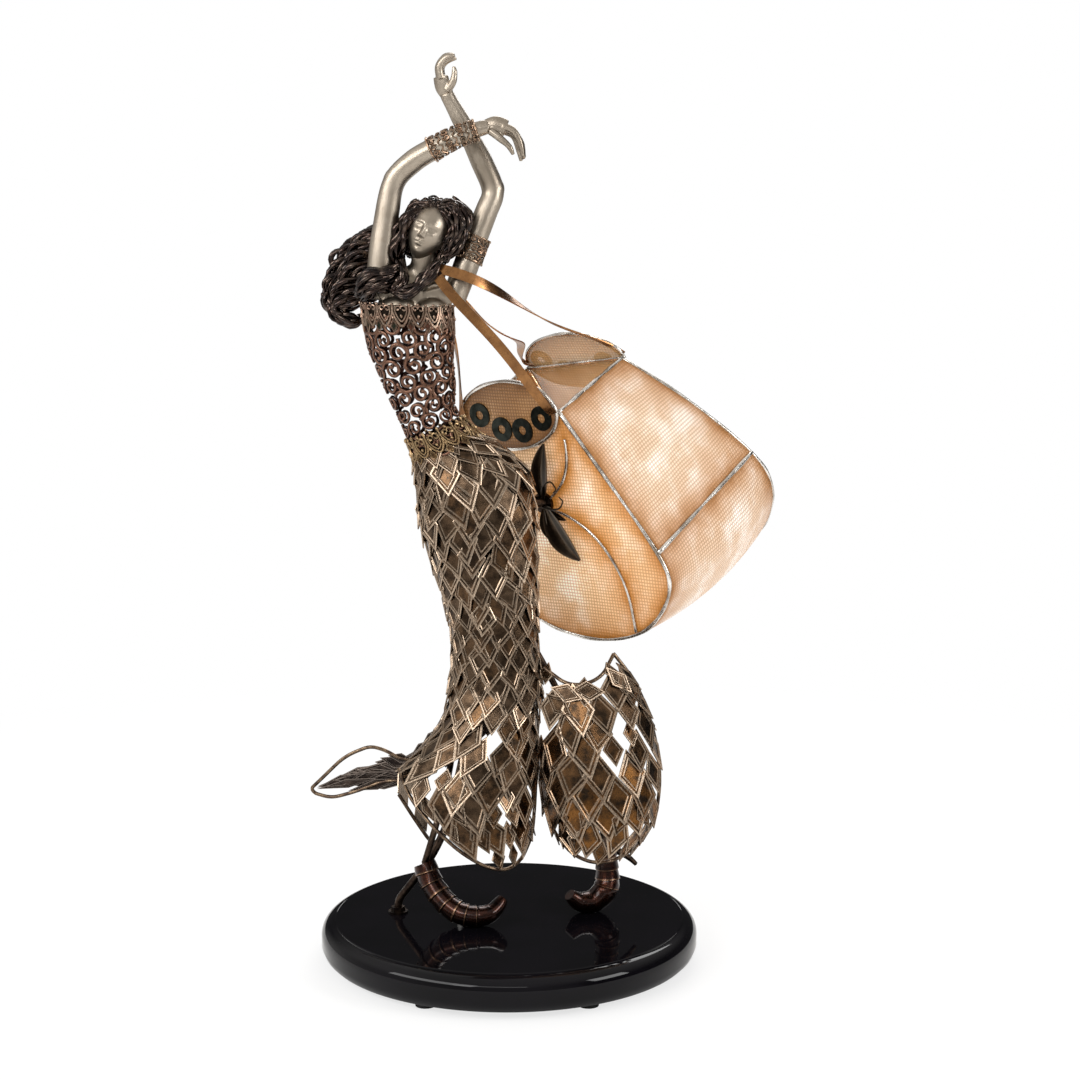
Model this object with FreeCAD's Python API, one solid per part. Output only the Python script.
import FreeCAD, Part
import math
import os

# Figural table lamp: a dancer of welded and cast metal on a round lacquered base, who carries a
# wire-framed bag of stiffened mesh by four straps. The bag is the lampshade, and holds the lampholder
# and bulb. Millimetres, +Z up, the figure looks along -Y. The origin is the centre of the base on the
# table. Places on the figure are given as x, y and the height above the top of the base.

Vector = FreeCAD.Vector
UP = Vector(0, 0, 1)

# ---------------------------------------------------------------- driving dimensions
# base
BASE_RADIUS = 152.5
BASE_THICKNESS = 28.0
BASE_EDGE_ROUND = 11.0
BASE_STEP = 1.2
FOOT_HEIGHT = 6.0
FOOT_RADIUS = 8.0
FOOT_INSET = 21.0
FOOT_ANGLE = 62.0
FOOT_SCREW_RADIUS = 1.75
FOOT_SCREW_LENGTH = 15.0
POCKET_RADIUS = 104.0
POCKET_DEPTH = 16.0
COVER_THICKNESS = 2.0
COVER_LIP = 8.0
COVER_SCREW_RADIUS = 1.5
COVER_SCREW_LENGTH = 9.0
CHANNEL_WIDTH = 8.0
GROMMET_RADIUS = 6.5
GROMMET_LENGTH = 9.0

# rods, wires, sheet and fasteners
LEG_ROD_RADIUS = 2.6
STUD_RADIUS = 3.0
STUD_GRIP = 9.0
NUT_FLATS = 10.0
NUT_HEIGHT = 5.0
WASHER_RADIUS = 8.0
WASHER_THICKNESS = 1.2
FLANGE_RADIUS = 8.0
FLANGE_THICKNESS = 1.5
WIRE_RADIUS = 1.6
SCROLL_RADIUS = 1.1
HEM_RADIUS = 1.5
SHEET = 1.2
BODICE_WALL = 1.6
BAND_THICKNESS = 2.2
CUFF_THICKNESS = 2.4
FIT_GAP = 0.3

# wiring
LEAD_RADIUS = 1.6
LEG_TUBE_RADIUS = 3.25
LEG_TUBE_BORE = 2.3
PIPE_RADIUS = 4.8
PIPE_BORE = 2.8
UNION_LENGTH = 14.0
UNION_WALL = 2.2

# shade
MESH_THICKNESS = 1.0
SHADE_BULGE = 9.0
LOBE_LENGTH = 102.0
LOBE_HEIGHT = 58.0
COIN_RADIUS = 10.2
COIN_HOLE = 3.8
COIN_THICKNESS = 1.4
COIN_GAP = 1.0
STRAP_WIDTH = 8.0
STRAP_THICKNESS = 1.0
LEAF_THICKNESS = 1.4
BRACKET_RADIUS = 9.0
BRACKET_THICKNESS = 3.0

# lampholder and bulb
HOLDER_RADIUS = 12.0
HOLDER_OFFSET = 9.0
HOLDER_CAP_LENGTH = 13.0
HOLDER_HUB = 3.5
HOLDER_SHELL_LENGTH = 24.0
HOLDER_WALL = 1.2
LINER_WALL = 3.2
THREAD_WALL = 0.5
BULB_RADIUS = 22.5
BULB_LENGTH = 58.0
BULB_NECK_RADIUS = 6.0
BULB_CAP_RADIUS = 6.4
BULB_CAP_LENGTH = 17.0
CONTACT_RADIUS = 2.5
KNOB_RADIUS = 5.0
KNOB_LENGTH = 12.0
KNOB_SHAFT_RADIUS = 1.6
KNOB_SHAFT_GAP = 0.05
KNOB_BEARING = 3.5

base_top = FOOT_HEIGHT + BASE_THICKNESS
pocket_roof = FOOT_HEIGHT + POCKET_DEPTH
cover_radius = POCKET_RADIUS + COVER_LIP

os.makedirs("parts", exist_ok=True)


def save(name, *solids):
    """Writes one named sub-part: a solid, or a group of like solids."""
    shape = solids[0] if len(solids) == 1 else Part.makeCompound(list(solids))
    shape.exportStep(f"parts/{name}.step")
    return shape


def at(x, y, height):
    """A place on the figure, at a height above the top of the base."""
    return Vector(x, y, base_top + height)


# ---------------------------------------------------------------- shaping helpers
def cylinder(start, along, radius, length):
    return Part.makeCylinder(radius, length, start, along)


def closed_spline(points):
    curve = Part.BSplineCurve()
    curve.interpolate(Points=points, PeriodicFlag=True)
    return Part.Wire([curve.toShape()])


def section_wire(centre, across, deep, inset=0.0, count=16):
    """An oval section from its centre and its two half axes, pulled in by inset all round."""
    across = across * (1 - inset / across.Length)
    deep = deep * (1 - inset / deep.Length)
    turns = [2 * math.pi * i / count for i in range(count)]
    return closed_spline([centre + across * math.cos(t) + deep * math.sin(t) for t in turns])


def body_loft(stations, inset=0.0, overrun=0.0, ruled=False):
    """A solid through oval sections, with its two ends moved outwards by overrun."""
    centres = [station[0] for station in stations]
    moved = list(centres)
    for end, beside in ((0, 1), (-1, -2)):
        outward = centres[end] - centres[beside]
        moved[end] = centres[end] + outward * (overrun / outward.Length)
    wires = [section_wire(c, s[1], s[2], inset) for c, s in zip(moved, stations)]
    return Part.makeLoft(wires, True, ruled, False, 3)


def shell_loft(stations, wall, ruled=False):
    inside = body_loft(stations, inset=wall, overrun=1.0, ruled=ruled)
    return body_loft(stations, ruled=ruled).cut(inside)


def leaning(left, right, depth, middle=0.0):
    """A section of the body from the x and height of its left and right ends and its half depth."""
    left_end = at(left[0], middle, left[1])
    right_end = at(right[0], middle, right[1])
    return ((left_end + right_end) * 0.5, (right_end - left_end) * 0.5, Vector(0, -depth, 0))


def limb(places, radii, flatten=1.0):
    """A limb through round or flattened sections, each square to the line of its centres."""
    stations = []
    for i, place in enumerate(places):
        along = places[min(i + 1, len(places) - 1)] - places[max(i - 1, 0)]
        side = Vector(0, 1, 0).cross(along).normalize() * radii[i]
        deep = along.cross(side).normalize() * (radii[i] * flatten)
        stations.append((place, side, deep))
    return body_loft(stations)


def bent_path(points, reaches=None, closed=False, share=0.48):
    """Straight runs joined by tangent arcs. A reach is the length of run that an arc takes up."""
    count = len(points)
    corners = list(range(count)) if closed else list(range(1, count - 1))
    arcs = {}
    for i in corners:
        back = points[i - 1] - points[i]
        onward = points[(i + 1) % count] - points[i]
        reach = share * min(back.Length, onward.Length)
        if reaches and reaches[i]:
            reach = reaches[i]
        start = points[i] + back * (reach / back.Length)
        end = points[i] + onward * (reach / onward.Length)
        half_turn = (math.pi - back.getAngle(onward)) / 2
        inward = (start + end) * 0.5 - points[i]
        depth = reach / math.tan(half_turn) * (1 / math.cos(half_turn) - 1)
        middle = points[i] + inward * (depth / inward.Length)
        arcs[i] = (start, middle, end)
    edges = []
    here = arcs[corners[-1]][2] if closed else points[0]
    for i in corners:
        edges.append(Part.LineSegment(here, arcs[i][0]).toShape())
        edges.append(Part.Arc(*arcs[i]).toShape())
        here = arcs[i][2]
    if not closed:
        edges.append(Part.LineSegment(here, points[-1]).toShape())
    return Part.Wire(edges)


def sweep(path, radius):
    first = path.Edges[0]
    start = first.valueAt(first.FirstParameter)
    heading = first.tangentAt(first.FirstParameter)
    profile = Part.Wire([Part.Circle(start, heading, radius).toShape()])
    return path.makePipeShell([profile], True, False)


def wire_bar(start, end, radius):
    return cylinder(start, end - start, radius, (end - start).Length)


def ribbon(places, faces, width, thickness):
    """A flat strap through places, with the way that its face looks at each."""
    wires = []
    for i, place in enumerate(places):
        along = places[min(i + 1, len(places) - 1)] - places[max(i - 1, 0)]
        across = along.cross(faces[i]).normalize() * (width / 2)
        lift = across.cross(along).normalize() * (thickness / 2)
        corners = [place + across + lift, place - across + lift]
        corners += [place - across - lift, place + across - lift]
        wires.append(Part.makePolygon(corners + corners[:1]))
    return Part.makeLoft(wires, True, False)


def hexagon_nut(place, flats, height, bore):
    """A nut that stands on place, with its hole along +Z."""
    corner = flats / math.sqrt(3)
    turns = [math.radians(60 * i) for i in range(7)]
    outline = Part.makePolygon([place + Vector(corner * math.cos(t), corner * math.sin(t), 0) for t in turns])
    nut = Part.Face(outline).extrude(UP * height)
    return nut.cut(cylinder(place, UP, bore, height))


def main_piece(shape):
    """The largest solid of a shape, without the slivers that a cut can leave."""
    return max(shape.Solids, key=lambda solid: solid.Volume)


def without(shape, *others):
    """The shape with others cut away, so that it meets them face to face."""
    for other in others:
        shape = shape.cut(other)
    return shape


# ---------------------------------------------------------------- where the figure stands
left_boot_stud = Vector(-38, -34, 0)
right_boot_stud = Vector(69, 5, 0)
leg_tube_foot = Vector(-91, 3, 0)

# ---------------------------------------------------------------- wiring: one route for lead and tubes
lead_level = FOOT_HEIGHT + COVER_THICKNESS + LEAD_RADIUS + 0.4
holder_axis = Vector(0.865, 0.485, -0.12).normalize()
holder_entry = at(29, 42, 333)
pipe_end = holder_entry + holder_axis * (HOLDER_OFFSET + HOLDER_HUB)
pipe_bend = holder_entry - holder_axis * 50.0
tube_foot = Vector(leg_tube_foot.x, leg_tube_foot.y, pocket_roof - WASHER_THICKNESS - NUT_HEIGHT - 1.0)
tube_route = [tube_foot, at(-91, 3, 10), at(-63, -2, 47), at(-38, 6, 101), at(-20, 8, 181), at(-28, 8, 266)]
tube_reaches = [None, 6.0, 17.0, 26.0, 36.0, 36.0]
union_run = pipe_bend - tube_route[-1]
union_middle = tube_route[-1] + union_run * 0.55
pipe_reach = 24.0
pocket_route = [
    Vector(0, BASE_RADIUS - GROMMET_LENGTH - 2, lead_level),
    Vector(0, 84, lead_level),
    Vector(leg_tube_foot.x, leg_tube_foot.y, lead_level),
]

tube_path = bent_path(tube_route + [union_middle], tube_reaches + [None])
leg_tube_solid = sweep(tube_path, LEG_TUBE_RADIUS)
leg_tube = leg_tube_solid.cut(sweep(tube_path, LEG_TUBE_BORE))

pipe_path = bent_path([union_middle, pipe_bend, pipe_end], [None, pipe_reach, None])
lamp_pipe_solid = sweep(pipe_path, PIPE_RADIUS)
lamp_pipe = lamp_pipe_solid.cut(sweep(pipe_path, PIPE_BORE))

union_start = union_middle - union_run * (UNION_LENGTH / 2 / union_run.Length)
tube_union = cylinder(union_start, union_run, PIPE_RADIUS + UNION_WALL, UNION_LENGTH)
tube_union = without(tube_union, leg_tube_solid, lamp_pipe_solid)

lead_points = pocket_route + tube_route[1:] + [pipe_bend, pipe_end + holder_axis * 1.5]
lead_reaches = [None, 30.0, tube_foot.z - lead_level] + tube_reaches[1:] + [pipe_reach, None]
supply_lead = sweep(bent_path(lead_points, lead_reaches), LEAD_RADIUS)

save("leg_tube", leg_tube)
save("lamp_pipe", lamp_pipe)
save("tube_union", tube_union)
save("supply_lead", supply_lead)

# ---------------------------------------------------------------- base
side_height = BASE_THICKNESS - BASE_EDGE_ROUND - BASE_STEP
profile_points = [
    Vector(0, 0, FOOT_HEIGHT),
    Vector(BASE_RADIUS - 5, 0, FOOT_HEIGHT),
    Vector(BASE_RADIUS, 0, FOOT_HEIGHT + side_height * 0.4),
    Vector(BASE_RADIUS, 0, FOOT_HEIGHT + side_height),
    Vector(BASE_RADIUS - BASE_EDGE_ROUND, 0, base_top - BASE_STEP),
    Vector(BASE_RADIUS - BASE_EDGE_ROUND, 0, base_top),
    Vector(0, 0, base_top),
]
round_centre = Vector(BASE_RADIUS - BASE_EDGE_ROUND, 0, FOOT_HEIGHT + side_height)
round_middle = round_centre + Vector(1, 0, 1).normalize() * BASE_EDGE_ROUND
profile_edges = []
for i, start in enumerate(profile_points):
    end = profile_points[(i + 1) % len(profile_points)]
    if i == 3:
        profile_edges.append(Part.Arc(start, round_middle, end).toShape())
    else:
        profile_edges.append(Part.LineSegment(start, end).toShape())
plinth = Part.Face(Part.Wire(profile_edges)).revolve(Vector(0, 0, 0), UP, 360)

floor = Vector(0, 0, FOOT_HEIGHT)
plinth = plinth.cut(cylinder(floor, UP, POCKET_RADIUS, POCKET_DEPTH))
plinth = plinth.cut(cylinder(floor, UP, cover_radius + FIT_GAP, COVER_THICKNESS))
channel_height = lead_level - FOOT_HEIGHT
channel = Part.makeBox(CHANNEL_WIDTH, BASE_RADIUS, channel_height, Vector(-CHANNEL_WIDTH / 2, 0, FOOT_HEIGHT))
channel = channel.fuse(cylinder(Vector(0, 0, lead_level), Vector(0, 1, 0), CHANNEL_WIDTH / 2, BASE_RADIUS))
grommet_seat = Vector(0, BASE_RADIUS - GROMMET_LENGTH, FOOT_HEIGHT + GROMMET_RADIUS + 1.5)
plinth = without(plinth, channel, cylinder(grommet_seat, Vector(0, 1, 0), GROMMET_RADIUS, GROMMET_LENGTH * 2))
for place in (left_boot_stud, right_boot_stud):
    plinth = plinth.cut(cylinder(place, UP, STUD_RADIUS, base_top))
plinth = plinth.cut(cylinder(leg_tube_foot, UP, LEG_TUBE_RADIUS, base_top))

foot_circle = BASE_RADIUS - FOOT_INSET
foot_x = foot_circle * math.cos(math.radians(FOOT_ANGLE))
foot_y = foot_circle * math.sin(math.radians(FOOT_ANGLE))
foot_places = [Vector(x, y, 0) for x in (foot_x, -foot_x) for y in (foot_y, -foot_y)]
head_radius = FOOT_SCREW_RADIUS * 2.1
head_height = FOOT_SCREW_RADIUS * 1.2
screw_bottom = FOOT_HEIGHT / 3
feet = []
foot_screws = []
for place in foot_places:
    seat = place + UP * screw_bottom
    screw = cylinder(seat, UP, head_radius, head_height)
    screw = screw.fuse(cylinder(seat, UP, FOOT_SCREW_RADIUS, FOOT_SCREW_LENGTH))
    foot = Part.makeCone(FOOT_RADIUS, FOOT_RADIUS + 1, FOOT_HEIGHT, place, UP)
    feet.append(without(foot, screw, cylinder(place, UP, head_radius, screw_bottom)))
    foot_screws.append(screw)
    plinth = plinth.cut(screw)

cover = cylinder(floor, UP, cover_radius, COVER_THICKNESS)
channel_corner = Vector(-CHANNEL_WIDTH / 2, POCKET_RADIUS, 0)
cover = cover.cut(Part.makeBox(CHANNEL_WIDTH, 20, COVER_THICKNESS * 3, channel_corner))
cover_screws = []
for i in range(4):
    turn = math.radians(45 + 90 * i)
    screw_circle = POCKET_RADIUS + COVER_LIP / 2
    place = floor + Vector(math.cos(turn), math.sin(turn), 0) * screw_circle
    screw = Part.makeCone(COVER_SCREW_RADIUS * 2, COVER_SCREW_RADIUS, COVER_THICKNESS * 0.8, place, UP)
    screw = screw.fuse(cylinder(place, UP, COVER_SCREW_RADIUS, COVER_SCREW_LENGTH))
    cover = cover.cut(screw)
    plinth = plinth.cut(screw)
    cover_screws.append(screw)

grommet = cylinder(grommet_seat, Vector(0, 1, 0), GROMMET_RADIUS, GROMMET_LENGTH - 0.5)
grommet = grommet.cut(cylinder(grommet_seat, Vector(0, 1, 0), GROMMET_RADIUS / 2, GROMMET_LENGTH))

studs = []
washers = []
base_nuts = []
for place in (left_boot_stud, right_boot_stud, leg_tube_foot):
    bore = LEG_TUBE_RADIUS if place is leg_tube_foot else STUD_RADIUS
    washer_place = place + UP * (pocket_roof - WASHER_THICKNESS)
    washer = cylinder(washer_place, UP, WASHER_RADIUS, WASHER_THICKNESS)
    washers.append(washer.cut(cylinder(washer_place, UP, bore, WASHER_THICKNESS)))
    nut_place = washer_place - UP * NUT_HEIGHT
    base_nuts.append(hexagon_nut(nut_place, NUT_FLATS, NUT_HEIGHT, bore))
    if place is not leg_tube_foot:
        foot_of_stud = nut_place - UP * 1.0
        studs.append(cylinder(foot_of_stud, UP, STUD_RADIUS, base_top + STUD_GRIP - foot_of_stud.z))

flange_place = leg_tube_foot + UP * base_top
flange = cylinder(flange_place, UP, FLANGE_RADIUS, FLANGE_THICKNESS)
flange = flange.cut(cylinder(flange_place, UP, LEG_TUBE_RADIUS, FLANGE_THICKNESS))
flange_nut = flange.fuse(hexagon_nut(flange_place + UP * FLANGE_THICKNESS, NUT_FLATS, 3.5, LEG_TUBE_RADIUS))

save("base_plinth", plinth)
save("base_cover", cover)
save("cover_screws", *cover_screws)
save("rubber_feet", *feet)
save("foot_screws", *foot_screws)
save("cord_grommet", grommet)
save("boot_studs", *studs)
save("base_nuts", *base_nuts, *washers)
save("leg_tube_nut", flange_nut)

# ---------------------------------------------------------------- boots, heels and leg rods
ground = Part.makeBox(600, 600, 100, Vector(-300, -300, base_top - 100))

left_places = [at(-68, -16, 47), at(-61, -21, 30), at(-47, -30, 15)]
left_places += [at(-31, -34, 7.5), at(-15, -31, 9), at(-5, -23, 19)]
left_boot = limb(left_places, [9.5, 9.5, 9.5, 8.8, 7.5, 2.5], 1.15)
right_places = [at(78, 9, 54), at(80, 9, 34), at(79, 7, 19), at(69, 4, 8), at(57, 0, 9.5), at(49, -4, 17)]
right_boot = limb(right_places, [8.5, 9.5, 10.5, 9.5, 8.0, 2.5], 1.15)
boots = [without(boot, ground, *studs) for boot in (left_boot, right_boot)]

left_rod_path = bent_path(
    [at(-68, -16, 47), at(-50, -15, 106), at(-36, -11, 196), at(-42, -6, 296), at(-50, 0, 371)]
)
right_rod_path = bent_path([at(78, 9, 54), at(71, 7, 106), at(40, 2, 186), at(0, -4, 256), at(-30, -6, 378)])
heel_pin = limb([at(86, 12, 50), at(95, 17, 44), at(104, 22, 35)], [3.2, 2.6, 1.8])
boots[1] = boots[1].cut(heel_pin)
left_rod = sweep(left_rod_path, LEG_ROD_RADIUS)
right_rod = sweep(right_rod_path, LEG_ROD_RADIUS)

save("boot_left", boots[0])
save("boot_right", boots[1])
save("heel_pin_right", heel_pin)

# ---------------------------------------------------------------- body: bodice, belt and trouser column
bodice_stations = [
    leaning((-75, 373), (-25.5, 393.5), 22),
    leaning((-82, 394), (-41, 412), 19),
    leaning((-92.5, 417), (-42, 433), 20),
    leaning((-102.5, 440.5), (-43.5, 452), 23),
    leaning((-111, 463.5), (-42.5, 469), 26),
    leaning((-115, 496), (-44, 491), 25),
]
column_stations = [
    leaning((-75, 373), (-25.5, 393.5), 22),
    leaning((-74, 359), (-4, 381), 26),
    leaning((-72, 344), (15, 360), 30),
    leaning((-70, 323), (20.5, 333), 31),
    leaning((-63, 297), (21.5, 298), 30),
    leaning((-51, 259), (22.5, 259), 28),
    leaning((-45.5, 226), (23, 226), 27),
    leaning((-47.5, 191), (25.5, 191), 28),
]
bodice_filled = body_loft(bodice_stations)
column_filled = body_loft(column_stations)
bodice = bodice_filled.cut(body_loft(bodice_stations, inset=BODICE_WALL, overrun=1.0))
column = column_filled.cut(body_loft(column_stations, inset=SHEET, overrun=1.0))


def collar(stations, grow, filled):
    """A band that lies on the filled shapes and stands proud of them."""
    return without(body_loft(stations, inset=-grow), *filled)


bust_band = collar(
    [
        leaning((-111, 463), (-43, 469), 26),
        leaning((-113.5, 480), (-43, 480), 26),
        leaning((-115.3, 498.5), (-43.8, 492.5), 25),
    ],
    BAND_THICKNESS,
    [bodice_filled],
)
waist_belt = collar(
    [
        leaning((-73, 365), (-17, 387), 23.5),
        leaning((-75, 373), (-25.5, 393.5), 22),
        leaning((-83, 397), (-40, 411), 19.2),
    ],
    BAND_THICKNESS,
    [bodice_filled, column_filled],
)
plate_floor = bodice_stations[0]
plate_axis = plate_floor[1].cross(plate_floor[2]).normalize()
plate_axis = plate_axis if plate_axis.z > 0 else plate_axis * -1
inside_bodice = body_loft(bodice_stations, inset=BODICE_WALL)
plate_slab = cylinder(plate_floor[0], plate_axis, 60, 3.0)
hip_plate = inside_bodice.common(plate_slab).cut(bodice)

# ---------------------------------------------------------------- trouser legs
# Each row is a level section: height, left x, right x, middle y and half depth.
LEFT_BELL = [
    (191, -47.5, 25.5, 0, 28),
    (161, -54.0, 24.0, -1, 35),
    (140, -69.0, 22.5, -2, 40),
    (116, -90.0, 21.5, -2, 44),
    (100, -89.0, 20.5, -3, 47),
    (71, -74.0, 19.5, -3, 49),
    (44, -56.0, 12.0, -4, 48),
]
RIGHT_BELL = [
    (216, 20.0, 84.0, 3, 18),
    (196, 20.0, 99.0, 3, 26),
    (176, 20.0, 109.0, 3, 34),
    (146, 23.0, 118.5, 2, 41),
    (111, 25.5, 123.5, 1, 45),
    (81, 30.0, 120.0, 0, 45),
    (50, 50.0, 94.0, -1, 40),
]


def bell_stations(rows):
    stations = []
    for height, left, right, middle, depth in rows:
        centre = at((left + right) / 2, middle, height)
        stations.append((centre, Vector((right - left) / 2, 0, 0), Vector(0, -depth, 0)))
    return stations


def on_bell(rows, x, height, side):
    """The place on a bell's sheet at x and height, on its front (-1) or its back (1)."""
    for upper, lower in zip(rows, rows[1:]):
        if upper[0] >= height >= lower[0]:
            break
    share = (upper[0] - height) / (upper[0] - lower[0])
    left, right, middle, depth = [a + (b - a) * share for a, b in zip(upper[1:], lower[1:])]
    out = (2 * x - left - right) / (right - left)
    reach = math.sqrt(max(0.0, 1 - out * out)) * (depth - SHEET / 2)
    return at(x, middle + side * reach, height)


def standing_prism(outline, y_from, y_to):
    """A block with an outline in x and height, from one depth to another."""
    corners = [at(x, y_from, height) for x, height in outline]
    face = Part.Face(Part.makePolygon(corners + corners[:1]))
    return face.extrude(Vector(0, y_to - y_from, 0))


left_filled = body_loft(bell_stations(LEFT_BELL), ruled=True)
right_filled = body_loft(bell_stations(RIGHT_BELL), ruled=True)
left_shell = shell_loft(bell_stations(LEFT_BELL), SHEET, ruled=True)
right_shell = shell_loft(bell_stations(RIGHT_BELL), SHEET, ruled=True)

front_hem = [(-89, 121), (-80, 106), (-60, 84), (-38, 66), (-18, 54), (-2, 48.5), (10, 52), (18.5, 66)]
back_hem = [(21, 138), (-14, 136), (-40, 124), (-50, 80), (-59, 50), (-76, 76), (-89, 100)]
front_keep = standing_prism([(-110, 230), (60, 230), (60, 66)] + front_hem[::-1] + [(-110, 121)], -80, -2)
back_keep = standing_prism([(-110, 230), (60, 230), (60, 138)] + back_hem + [(-110, 100)], -2, 80)
bell_left = left_shell.common(front_keep.fuse(back_keep))

shelf = [(20, 216), (28, 206), (49, 192.5), (73, 198), (84, 215)]
right_hem = [(120, 81), (110, 66), (94, 56), (72, 53), (52, 56), (38, 66), (30, 81)]
right_keep = standing_prism([(15, 216)] + shelf + [(140, 216), (140, 81)] + right_hem + [(15, 81)], -80, 8)
bell_right = right_shell.common(right_keep)

column = column.cut(right_filled)
bell_left = bell_left.cut(right_filled)
column_room = body_loft(column_stations, inset=SHEET)
left_room = body_loft(bell_stations(LEFT_BELL), inset=SHEET, ruled=True)
bell_right = without(bell_right, column_room, left_room)

left_edge = [on_bell(LEFT_BELL, x, height, -1) for x, height in front_hem]
left_edge += [at(20.3, -3, 84), at(21.5, 0, 108), at(23, 0, 134)]
hem_left = sweep(bent_path(left_edge), HEM_RADIUS)
back_edge = [on_bell(LEFT_BELL, x, height, 1) for x, height in back_hem[2:]]
hem_back = sweep(bent_path(back_edge), HEM_RADIUS)
right_loop = [at(84, 3, 215), at(99, 3, 196), at(109, 4, 176)]
right_loop += [at(118.5, 4, 146), at(123, 4, 111), at(119, 0, 81)]
right_loop += [on_bell(RIGHT_BELL, x, height, -1) for x, height in right_hem[1:-1]]
right_loop += [at(31, 0, 81), at(27, 4, 110), at(27, 6, 140)]
hem_right = sweep(bent_path(right_loop), HEM_RADIUS)
shelf_edge = [on_bell(RIGHT_BELL, x, min(height, 215), -1) for x, height in shelf[1:]]
shelf_wire = sweep(bent_path(shelf_edge), HEM_RADIUS)

train_top = [at(-78, 27, 122), at(-90, 29, 122), at(-103, 31, 129)]
train_top += [at(-115, 32, 132), at(-136, 35, 123), at(-158, 38, 101)]
train_low = [at(-72, 27, 96), at(-86, 27, 104), at(-103, 29, 103.5)]
train_low += [at(-128, 33, 93), at(-148, 36, 87), at(-162, 40, 90)]
train_wires = []
for top, low in zip(train_top, train_low):
    sag = (top + low) * 0.5 + Vector(0, 9 * (top - low).Length / 30, 0)
    back = Vector(0, SHEET, 0)
    outline = [
        Part.Arc(top, sag, low).toShape(),
        Part.LineSegment(low, low + back).toShape(),
        Part.Arc(low + back, sag + back, top + back).toShape(),
        Part.LineSegment(top + back, top).toShape(),
    ]
    train_wires.append(Part.Wire(outline))
train = Part.makeLoft(train_wires, True, True)
train_loop = train_top + [at(-165, 40, 94)] + train_low[::-1]
train_hem = sweep(bent_path(train_loop), HEM_RADIUS)

lamp_clear = cylinder(pipe_bend, holder_axis, PIPE_RADIUS + FIT_GAP, 60)
rods = [left_rod, right_rod, leg_tube_solid]
column = without(column, lamp_clear, lamp_pipe_solid, *rods)
hem_left = without(hem_left, hem_right)
hem_back = hem_back.cut(hem_left)
bell_left = main_piece(without(bell_left, hem_left, hem_back, hem_right, *rods))
bell_right = main_piece(without(bell_right, hem_right, shelf_wire, right_rod, hem_left))
shelf_wire = without(shelf_wire, hem_right)
train_hem = main_piece(without(train_hem, hem_left, hem_back, bell_left))
train = without(train, train_hem, left_filled, hem_left)
column = column.cut(shelf_wire)

save("bodice_lattice", bodice)
save("waist_belt", waist_belt)
save("trouser_column", column)
save("trouser_bell_left", bell_left)
save("trouser_bell_right", bell_right)
save("trouser_train", train)
save("hem_wires", hem_left, hem_back, hem_right, shelf_wire, train_hem)
save("leg_rods", without(left_rod, boots[0], hip_plate), without(right_rod, boots[1], hip_plate))
save("hip_plate", hip_plate)

# ---------------------------------------------------------------- chest, head, hair, arms and hands
chest_stations = [
    leaning((-115, 496), (-44, 491), 25),
    leaning((-108, 503), (-44, 499), 19),
    leaning((-98, 510), (-46, 508), 14),
    leaning((-81, 517), (-57, 514), 10),
    leaning((-77, 524), (-58, 520), 9),
    leaning((-74, 534), (-56, 530), 9),
]
chest = body_loft(chest_stations)
bust_band = bust_band.cut(chest)

head_places = [at(-72, -14, 525), at(-69, -10, 533), at(-64, -6, 545)]
head_places += [at(-58, -3, 558), at(-53, -1, 568), at(-49, 0, 575)]
head_filled = limb(head_places, [5, 10, 13.5, 15, 12, 4], 1.25)
head = head_filled.cut(chest)

arm_right_places = [at(-101, 0, 500), at(-99, 0, 530), at(-94.5, 0, 562), at(-88, 0, 589), at(-74, -5, 603)]
arm_right_places += [at(-58, -9, 612.5), at(-40, -12, 621.5), at(-22.5, -12, 627.5)]
arm_right = limb(arm_right_places, [10.5, 10.2, 9.6, 9.2, 9.0, 8.4, 7.2, 6.4])
arm_left_places = [at(-41, 4, 503), at(-33, 6, 524), at(-26, 8, 544), at(-17, 10, 566), at(-12, 12, 582)]
arm_left_places += [at(-20, 12, 603), at(-33, 10, 629), at(-45, 8, 651)]
arm_left = limb(arm_left_places, [9.0, 10.0, 9.8, 9.4, 9.2, 8.6, 7.2, 6.0])
arm_right = without(arm_right, chest, bust_band)
arm_left = without(arm_left, chest, bust_band)

hand_right = limb(
    [at(-22.5, -12, 627.5), at(-14, -12, 629.5), at(-5, -13, 628.5), at(4, -13, 620), at(12, -12, 604.5)],
    [6.4, 6.6, 8.0, 6.0, 2.0],
    0.55,
)
hand_left = limb(
    [at(-45, 8, 651), at(-49, 6, 660), at(-51.5, 5, 670), at(-47, 2, 679), at(-40.5, 0, 685)],
    [6.0, 6.8, 8.0, 5.5, 2.0],
    0.6,
)
hand_right = main_piece(hand_right.cut(arm_right))
hand_left = hand_left.cut(arm_left)

cuff_outer = [at(-58, -9, 612.5), at(-40, -12, 621.5), at(-24, -12, 627)]
wrist_cuff = limb(cuff_outer, [8.4 + CUFF_THICKNESS, 7.4 + CUFF_THICKNESS, 6.6 + CUFF_THICKNESS])
armband = limb([at(-31, 6.5, 529), at(-28, 7.5, 537), at(-25, 8.2, 545)], [9.9 + CUFF_THICKNESS] * 3)
wrist_cuff = without(wrist_cuff, arm_right, hand_right, arm_left)
armband = armband.cut(arm_left)

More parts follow.
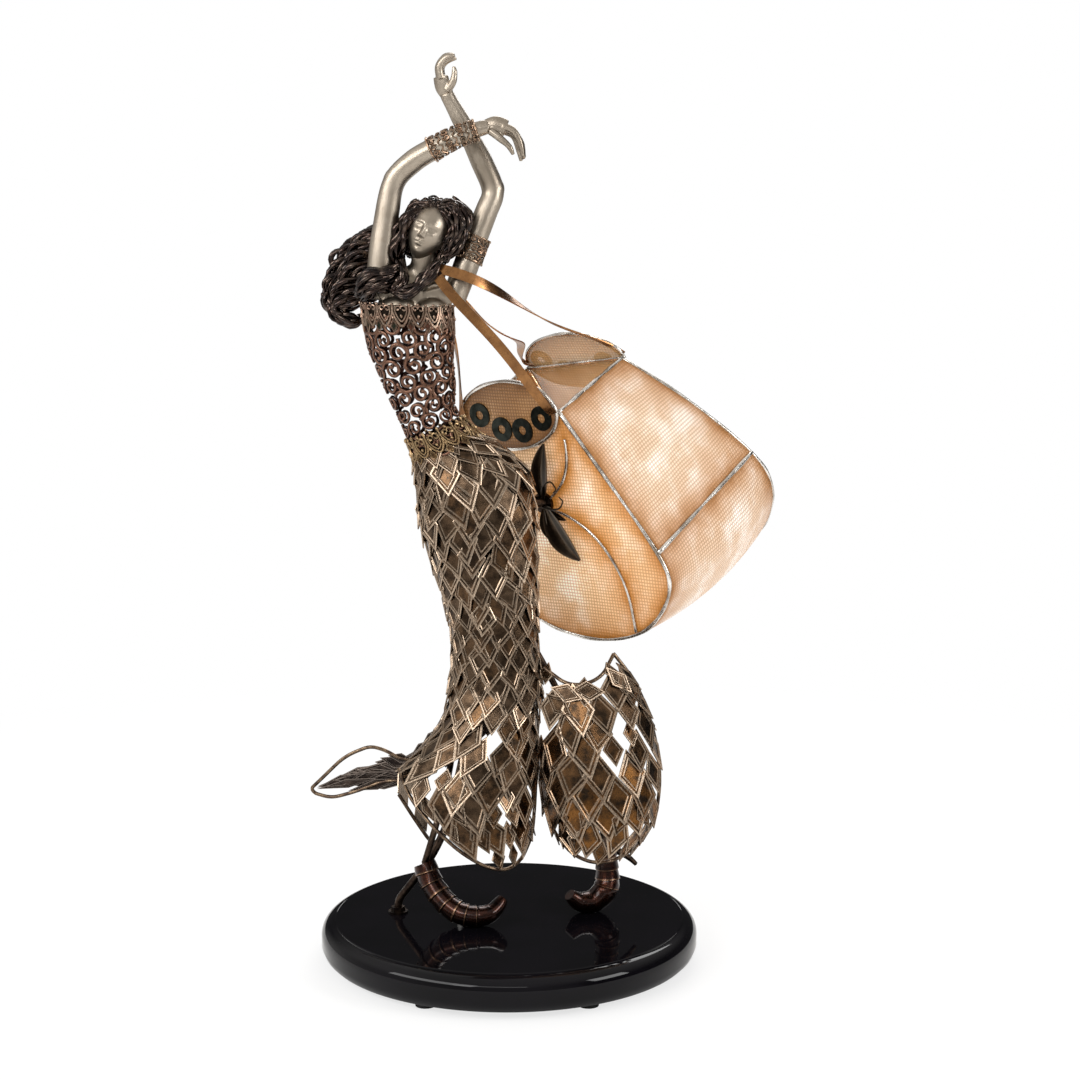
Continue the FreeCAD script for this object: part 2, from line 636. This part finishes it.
crown_places = [at(-60, 6, 532), at(-61, 5, 545), at(-56, 5, 558), at(-52, 4, 568), at(-48, 3, 576)]
hair_crown = limb(crown_places, [14, 18.5, 19.5, 17, 6], 1.15)
face_window = limb(
    [at(-76, -24, 520), at(-68, -24, 534), at(-61, -24, 549), at(-55, -24, 562), at(-52, -24, 567)],
    [6, 12, 13, 9, 3],
    1.6,
)
hair_crown = without(hair_crown, head_filled, face_window, chest, arm_left, arm_right)
fall_places = [at(-70, 18, 548), at(-92, 24, 535), at(-119, 24, 521)]
fall_places += [at(-138, 20, 504), at(-131, 14, 488), at(-117, 14, 485)]
hair_fall = limb(fall_places, [14, 17, 18, 17, 12, 4], 0.85)
hair_fall = without(hair_fall, hair_crown, head_filled, chest, arm_right, bust_band, bodice_filled)
lock_places = [at(-76, -8, 540), at(-86, -14, 524), at(-100, -17, 512), at(-112, -13, 506), at(-118, -2, 500)]
hair_lock = limb(lock_places, [5, 8, 9, 8, 4], 0.8)
hair_lock = without(hair_lock, hair_crown, head_filled, chest, arm_right, bust_band, hair_fall, bodice_filled)

save("chest_neck", chest)
save("bust_band", bust_band)
save("head", head)
save("arm_right", arm_right)
save("arm_left", arm_left)
save("hand_right", hand_right)
save("hand_left", hand_left)
save("wrist_cuff", wrist_cuff)
save("armband", armband)
save("hair_crown", hair_crown)
save("hair_locks", hair_fall, hair_lock)


# ---------------------------------------------------------------- shade: two flat sides and a wrap
class PanelFrame:
    """A leaning plane: u runs level along it, v up along it and out square to it."""

    def __init__(self, origin, heading, lean):
        turn = math.radians(heading)
        tip = math.radians(lean)
        self.origin = origin
        self.u = Vector(math.cos(turn), math.sin(turn), 0)
        level_out = Vector(-math.sin(turn), math.cos(turn), 0)
        self.v = UP * math.cos(tip) + level_out * math.sin(tip)
        self.out = level_out * math.cos(tip) - UP * math.sin(tip)

    def place(self, u, v, out=0.0):
        return self.origin + self.u * u + self.v * v + self.out * out


near = PanelFrame(at(40, 10, 408.5), 141.6, 13.8)
far = PanelFrame(at(92.5, 75, 449), -34.15, -40.0)

# Outlines run from the mouth's right corner round the bottom to its left corner, as u and v.
NEAR_RIM = [(0, 0), (-33, -47), (-83, -118), (-87, -143), (-71, -169), (-48, -187), (-7, -196.5)]
NEAR_RIM += [(34, -191.5), (59, -181.5), (84, -169), (105, -140), (114, -100), (111.5, -46.5), (100.5, -9.5)]
FAR_RIM = [(0, 0), (46, -43), (91, -105), (95.5, -142), (77, -183), (55, -207), (22, -226)]
FAR_RIM += [(-12, -226), (-38, -214), (-60, -195), (-76, -163), (-84, -124), (-94, -72), (-100.5, -14.5)]
# The wrap bulges between the rims by this share of SHADE_BULGE; it is flat under the two seam bars.
BULGE_SHARE = [0, 0.7, 0, 0.6, 1, 1, 1, 1, 1, 1, 1, 1, 0.8, 0]

near_path = bent_path([near.place(u, v) for u, v in NEAR_RIM])
far_path = bent_path([far.place(u, v) for u, v in FAR_RIM])


def rim_stations(path):
    """The ends of a rim and the middle of each of its arcs."""
    places = [path.Edges[0].valueAt(path.Edges[0].FirstParameter)]
    for edge in path.Edges:
        if edge.Curve.TypeId == "Part::GeomCircle":
            places.append(edge.valueAt((edge.FirstParameter + edge.LastParameter) / 2))
    places.append(path.Edges[-1].valueAt(path.Edges[-1].LastParameter))
    return places


near_stations = rim_stations(near_path)
far_stations = rim_stations(far_path)
bag_middle = (near.place(10, -95) + far.place(0, -110)) * 0.5


def outward(near_place, far_place):
    """The way out of the bag, square to the line between two facing rim places."""
    chord = (far_place - near_place).normalize()
    away = (near_place + far_place) * 0.5 - bag_middle
    return (away - chord * away.dot(chord)).normalize()


def wrap_section(near_place, far_place, share):
    """The four edges of a cut through the wrap, from the near rim over to the far one and back."""
    out = outward(near_place, far_place)
    middle = (near_place + far_place) * 0.5 + out * (SHADE_BULGE * share + 0.05)
    thick = out * MESH_THICKNESS
    return [
        Part.Arc(near_place, middle, far_place).toShape(),
        Part.LineSegment(far_place, far_place + thick).toShape(),
        Part.Arc(far_place + thick, middle + thick, near_place + thick).toShape(),
        Part.LineSegment(near_place + thick, near_place).toShape(),
    ]


sections = [wrap_section(a, b, share) for a, b, share in zip(near_stations, far_stations, BULGE_SHARE)]
wrap_faces = [Part.Face(Part.Wire(sections[0])), Part.Face(Part.Wire(sections[-1]))]
for section, following in zip(sections, sections[1:]):
    for edge, next_edge in zip(section, following):
        wrap_faces.append(Part.makeRuledSurface(edge, next_edge, 1))
wrap_shell = Part.makeShell(wrap_faces)
wrap_shell.sewShape()
mesh_wrap = Part.makeSolid(wrap_shell)
if mesh_wrap.Volume < 0:
    mesh_wrap.reverse()


def flat_mesh(frame, path, out=0.0):
    """A flat sheet of mesh inside a closed or open path, its middle at a distance out of the frame."""
    first = path.Edges[0].valueAt(path.Edges[0].FirstParameter)
    last = path.Edges[-1].valueAt(path.Edges[-1].LastParameter)
    edges = list(path.Edges)
    if (first - last).Length > 0.01:
        edges.append(Part.LineSegment(last, first).toShape())
    face = Part.Face(Part.Wire(edges))
    face.translate(frame.out * (out - MESH_THICKNESS / 2))
    return face.extrude(frame.out * MESH_THICKNESS)


rim_near = sweep(near_path, WIRE_RADIUS)
rim_far = sweep(far_path, WIRE_RADIUS)
seam_lift = outward(near_stations[2], far_stations[2]) * (WIRE_RADIUS + MESH_THICKNESS)
bars = [
    wire_bar(near_stations[0], far_stations[0], WIRE_RADIUS),
    wire_bar(near_stations[-1], far_stations[-1], WIRE_RADIUS),
    wire_bar(near_stations[0], near_stations[-1], WIRE_RADIUS),
    wire_bar(far_stations[0], far_stations[-1], WIRE_RADIUS),
]
seam_bar = wire_bar(near_stations[2] + seam_lift, far_stations[2] + seam_lift, WIRE_RADIUS)
bars[2] = without(bars[2], bars[0], bars[1])
bars[3] = without(bars[3], bars[0], bars[1])
rim_near = without(rim_near, *bars)
rim_far = without(rim_far, *bars)
seam_bar = without(seam_bar, rim_near, rim_far)

mesh_near = without(flat_mesh(near, near_path), rim_near, *bars)
mesh_far = without(flat_mesh(far, far_path), rim_far, *bars)
mesh_wrap = main_piece(without(mesh_wrap, rim_near, rim_far, seam_bar, *bars))

pipe_hole = cylinder(holder_entry - holder_axis * 12, holder_axis, PIPE_RADIUS, 30)
mesh_near = mesh_near.cut(pipe_hole)

# ---------------------------------------------------------------- flaps, coins, scrolls and leaves
flap_lift = 2 * WIRE_RADIUS
coin_lift = flap_lift + MESH_THICKNESS / 2


def flap(frame, middle_u, middle_v, tilt, coin_dip, coin_middle):
    """An oval flap of mesh in its wire, folded over the mouth, with its row of coins."""
    turn = math.radians(tilt)
    loop = []
    for i in range(12):
        t = 2 * math.pi * i / 12
        along = LOBE_LENGTH / 2 * math.cos(t)
        rise = LOBE_HEIGHT / 2 * math.sin(t)
        u = middle_u + along * math.cos(turn) - rise * math.sin(turn)
        v = middle_v + along * math.sin(turn) + rise * math.cos(turn)
        loop.append(frame.place(u, v, flap_lift))
    path = bent_path(loop, closed=True)
    wire = sweep(path, WIRE_RADIUS)
    mesh = flat_mesh(frame, path, flap_lift).cut(wire)
    coins = []
    for number in (-1.5, -0.5, 0.5, 1.5):
        step = number * (2 * COIN_RADIUS + COIN_GAP)
        seat = frame.place(coin_middle + step, coin_dip + 0.012 * step * step, coin_lift)
        coin = cylinder(seat, frame.out, COIN_RADIUS, COIN_THICKNESS)
        coins.append(coin.cut(cylinder(seat, frame.out, COIN_HOLE, COIN_THICKNESS)))
    return wire, mesh, coins


near_flap_wire, near_flap_mesh, near_coins = flap(near, 50, -4, -5.4, -17, 47.5)
far_flap_wire, far_flap_mesh, far_coins = flap(far, -50, -6.5, 8.1, -21, -54)

scroll_lift = MESH_THICKNESS / 2 + SCROLL_RADIUS
scroll_upper = [(-3, -22), (-2.5, -40), (4, -57), (14, -68), (22, -74)]
scroll_lower = [(22, -83), (5, -87), (-18, -101), (-34.5, -122.5), (-45, -149), (-46.5, -183)]
scrolls = []
for outline in (scroll_upper, scroll_lower):
    scrolls.append(sweep(bent_path([near.place(u, v, scroll_lift) for u, v in outline]), SCROLL_RADIUS))

bracket_seat = near.place(28.6, -77.8, MESH_THICKNESS / 2)
bracket = cylinder(bracket_seat, near.out, BRACKET_RADIUS, BRACKET_THICKNESS).cut(pipe_hole)
scrolls = [without(scroll, bracket, rim_near, near_flap_wire) for scroll in scrolls]

leaf_lift = MESH_THICKNESS / 2 + BRACKET_THICKNESS


def leaf(angle, length, width, lift):
    """A pointed leaf that lies along the near side, from the bracket outwards."""
    turn = math.radians(angle)

    def spot(along, aside):
        u = 28.6 + along * math.cos(turn) - aside * math.sin(turn)
        v = -77.8 + along * math.sin(turn) + aside * math.cos(turn)
        return near.place(u, v, lift)

    root = PIPE_RADIUS
    edges = [
        Part.Arc(spot(root, 0), spot(length * 0.6, width / 2), spot(length, 0)).toShape(),
        Part.Arc(spot(length, 0), spot(length * 0.6, -width / 2), spot(root, 0)).toShape(),
    ]
    return Part.Face(Part.Wire(edges)).extrude(near.out * LEAF_THICKNESS)


leaves = cylinder(near.place(28.6, -77.8, leaf_lift), near.out, BRACKET_RADIUS * 0.8, LEAF_THICKNESS)
for angle, length, width in ((-128, 52, 15), (-150, 30, 8), (95, 24, 7), (-95, 34, 9)):
    leaves = leaves.fuse(leaf(angle, length, width, leaf_lift))
leaves = leaves.cut(pipe_hole).removeSplitter()

save("shade_rims", rim_near, rim_far)
save("shade_bars", seam_bar, *bars)
save("mesh_side_near", mesh_near)
save("mesh_side_far", mesh_far)
save("mesh_wrap", mesh_wrap)
save("flap_wires", near_flap_wire, far_flap_wire)
save("flap_meshes", near_flap_mesh, far_flap_mesh)
save("coins", *near_coins, *far_coins)
save("shade_scrolls", *scrolls)
save("shade_bracket", bracket)
save("leaf_spray", leaves)

# ---------------------------------------------------------------- straps and their anchors
front_anchor = Part.makeSphere(4.5, at(-53, -10, 516)).cut(chest).cut(arm_left)
rear_anchor = Part.makeSphere(4.5, at(-60, 17, 501)).cut(chest).cut(bust_band)
strap_out = flap_lift + WIRE_RADIUS + STRAP_THICKNESS / 2 - 0.1
near_end = near.place(2, 0, strap_out)
side_end = near.place(98, -9, strap_out)
far_end = far.place(-2, 0, strap_out)
back_end = far.place(-98, -14, strap_out)
FRONT = Vector(0, -1, 0)
strap_near = ribbon(
    [at(-54, -15, 515), at(-36, -14, 493), at(-13, -11, 468.5), at(11, -4, 438.5), near_end],
    [FRONT, FRONT, FRONT, FRONT, near.out],
    STRAP_WIDTH,
    STRAP_THICKNESS,
)
far_line = [at(-53, -12.5, 521), at(-33, -12, 515.5), at(-14, 0, 507), at(9, 24, 493)]
far_line += [at(33, 44, 479), at(58, 62, 469), far_end]
far_faces = [FRONT, FRONT, Vector(0, -0.9, 0.4), Vector(0, -0.6, 0.8)]
far_faces += [Vector(0, -0.2, 1), Vector(0, 0, 1), far.out]
strap_far = ribbon(
    far_line,
    far_faces,
    STRAP_WIDTH,
    STRAP_THICKNESS,
)
back_faces = [Vector(0, 1, 0.5), Vector(0.2, 0.8, 1), Vector(0.5, 0, 1)]
back_faces += [Vector(0.5, 0, 1), Vector(0.3, 0, 1), far.out]
strap_back = ribbon(
    [at(-60, 21, 502), at(-40, 27, 499), at(-23, 34, 483), at(-3, 54, 468), at(9, 90, 460), back_end],
    back_faces,
    STRAP_WIDTH,
    STRAP_THICKNESS,
)
strap_side = ribbon(
    [at(-62, 22, 500), at(-50, 32, 482), at(-42, 48, 450), side_end],
    [Vector(0, 1, 0), Vector(0.7, 0.7, 0), Vector(1, 0.3, 0), near.out],
    STRAP_WIDTH,
    STRAP_THICKNESS,
)
frame_parts = [near_flap_wire, far_flap_wire, near_flap_mesh, far_flap_mesh, rim_near, rim_far] + bars
strap_near = without(strap_near, front_anchor, chest, arm_left, *frame_parts)
strap_far = without(strap_far, strap_near, front_anchor, chest, arm_left, *frame_parts)
strap_back = without(strap_back, rear_anchor, chest, bust_band, *frame_parts)
strap_side = without(strap_side, strap_back, rear_anchor, chest, bust_band, *frame_parts)

save("strap_anchors", front_anchor, rear_anchor)
save("strap_near", strap_near)
save("strap_far", strap_far)
save("strap_back", strap_back)
save("strap_side", strap_side)

# ---------------------------------------------------------------- lampholder, switch and bulb
cap_start = holder_entry + holder_axis * HOLDER_OFFSET
shell_start = cap_start + holder_axis * HOLDER_CAP_LENGTH
knob_axis = (UP - holder_axis * UP.dot(holder_axis)).normalize()
knob_foot = cap_start + holder_axis * (HOLDER_CAP_LENGTH * 0.55)
inner_radius = HOLDER_RADIUS - HOLDER_WALL

holder_cap = cylinder(cap_start, holder_axis, HOLDER_RADIUS, HOLDER_CAP_LENGTH)
room_start = cap_start + holder_axis * HOLDER_HUB
room_radius = HOLDER_RADIUS - KNOB_BEARING
holder_cap = holder_cap.cut(cylinder(room_start, holder_axis, room_radius, HOLDER_CAP_LENGTH))
shaft_hole = cylinder(knob_foot, knob_axis, KNOB_SHAFT_RADIUS + KNOB_SHAFT_GAP, HOLDER_RADIUS + 5)
holder_cap = without(holder_cap, lamp_pipe_solid, shaft_hole)

holder_shell = cylinder(shell_start, holder_axis, HOLDER_RADIUS, HOLDER_SHELL_LENGTH)
holder_shell = holder_shell.cut(cylinder(shell_start, holder_axis, inner_radius, HOLDER_SHELL_LENGTH))
liner_bore = inner_radius - LINER_WALL
liner = cylinder(shell_start, holder_axis, inner_radius, HOLDER_SHELL_LENGTH - 1)
liner = liner.cut(cylinder(shell_start + holder_axis * 4, holder_axis, liner_bore, HOLDER_SHELL_LENGTH))
contact = cylinder(shell_start + holder_axis * 1.0, holder_axis, CONTACT_RADIUS, 4.5)
liner = liner.cut(contact)
thread_start = shell_start + holder_axis * 6
thread_shell = cylinder(thread_start, holder_axis, liner_bore, HOLDER_SHELL_LENGTH - 8)
thread_bore = liner_bore - THREAD_WALL
thread_shell = thread_shell.cut(cylinder(thread_start, holder_axis, thread_bore, HOLDER_SHELL_LENGTH))

knob_start = knob_foot + knob_axis * (HOLDER_RADIUS + 1.0)
knob = cylinder(knob_start, knob_axis, KNOB_RADIUS, KNOB_LENGTH)
for side in (1, -1):
    wing = Part.makeBox(KNOB_RADIUS * 4, KNOB_RADIUS, KNOB_LENGTH)
    wing.translate(Vector(-KNOB_RADIUS * 2, KNOB_RADIUS * (0.38 if side > 0 else -1.38), KNOB_LENGTH * 0.3))
    wing.Placement = FreeCAD.Placement(knob_start, FreeCAD.Rotation(UP, knob_axis)).multiply(wing.Placement)
    knob = knob.cut(wing)
shaft_foot = knob_foot + knob_axis * (HOLDER_RADIUS - KNOB_BEARING - 2.0)
shaft = cylinder(shaft_foot, knob_axis, KNOB_SHAFT_RADIUS, KNOB_BEARING + 4.0)
switch_knob = knob.fuse(shaft)

bulb_cap_start = thread_start + holder_axis * 0.5
bulb_shoulder = bulb_cap_start + holder_axis * BULB_CAP_LENGTH
bulb_cap = cylinder(bulb_cap_start, holder_axis, BULB_CAP_RADIUS, BULB_CAP_LENGTH)
globe_centre = bulb_shoulder + holder_axis * (BULB_LENGTH - BULB_RADIUS)
globe = Part.makeSphere(BULB_RADIUS, globe_centre)
neck_length = BULB_LENGTH - 2 * BULB_RADIUS + 5.0
neck = Part.makeCone(BULB_NECK_RADIUS, BULB_RADIUS * 0.62, neck_length, bulb_shoulder, holder_axis)
bulb_glass = globe.fuse(neck)

save("socket_cap", holder_cap)
save("socket_shell", holder_shell)
save("socket_liner", liner)
save("socket_thread", thread_shell)
save("socket_contact", contact)
save("switch_knob", switch_knob)
save("bulb_cap", bulb_cap)
save("bulb_glass", bulb_glass)
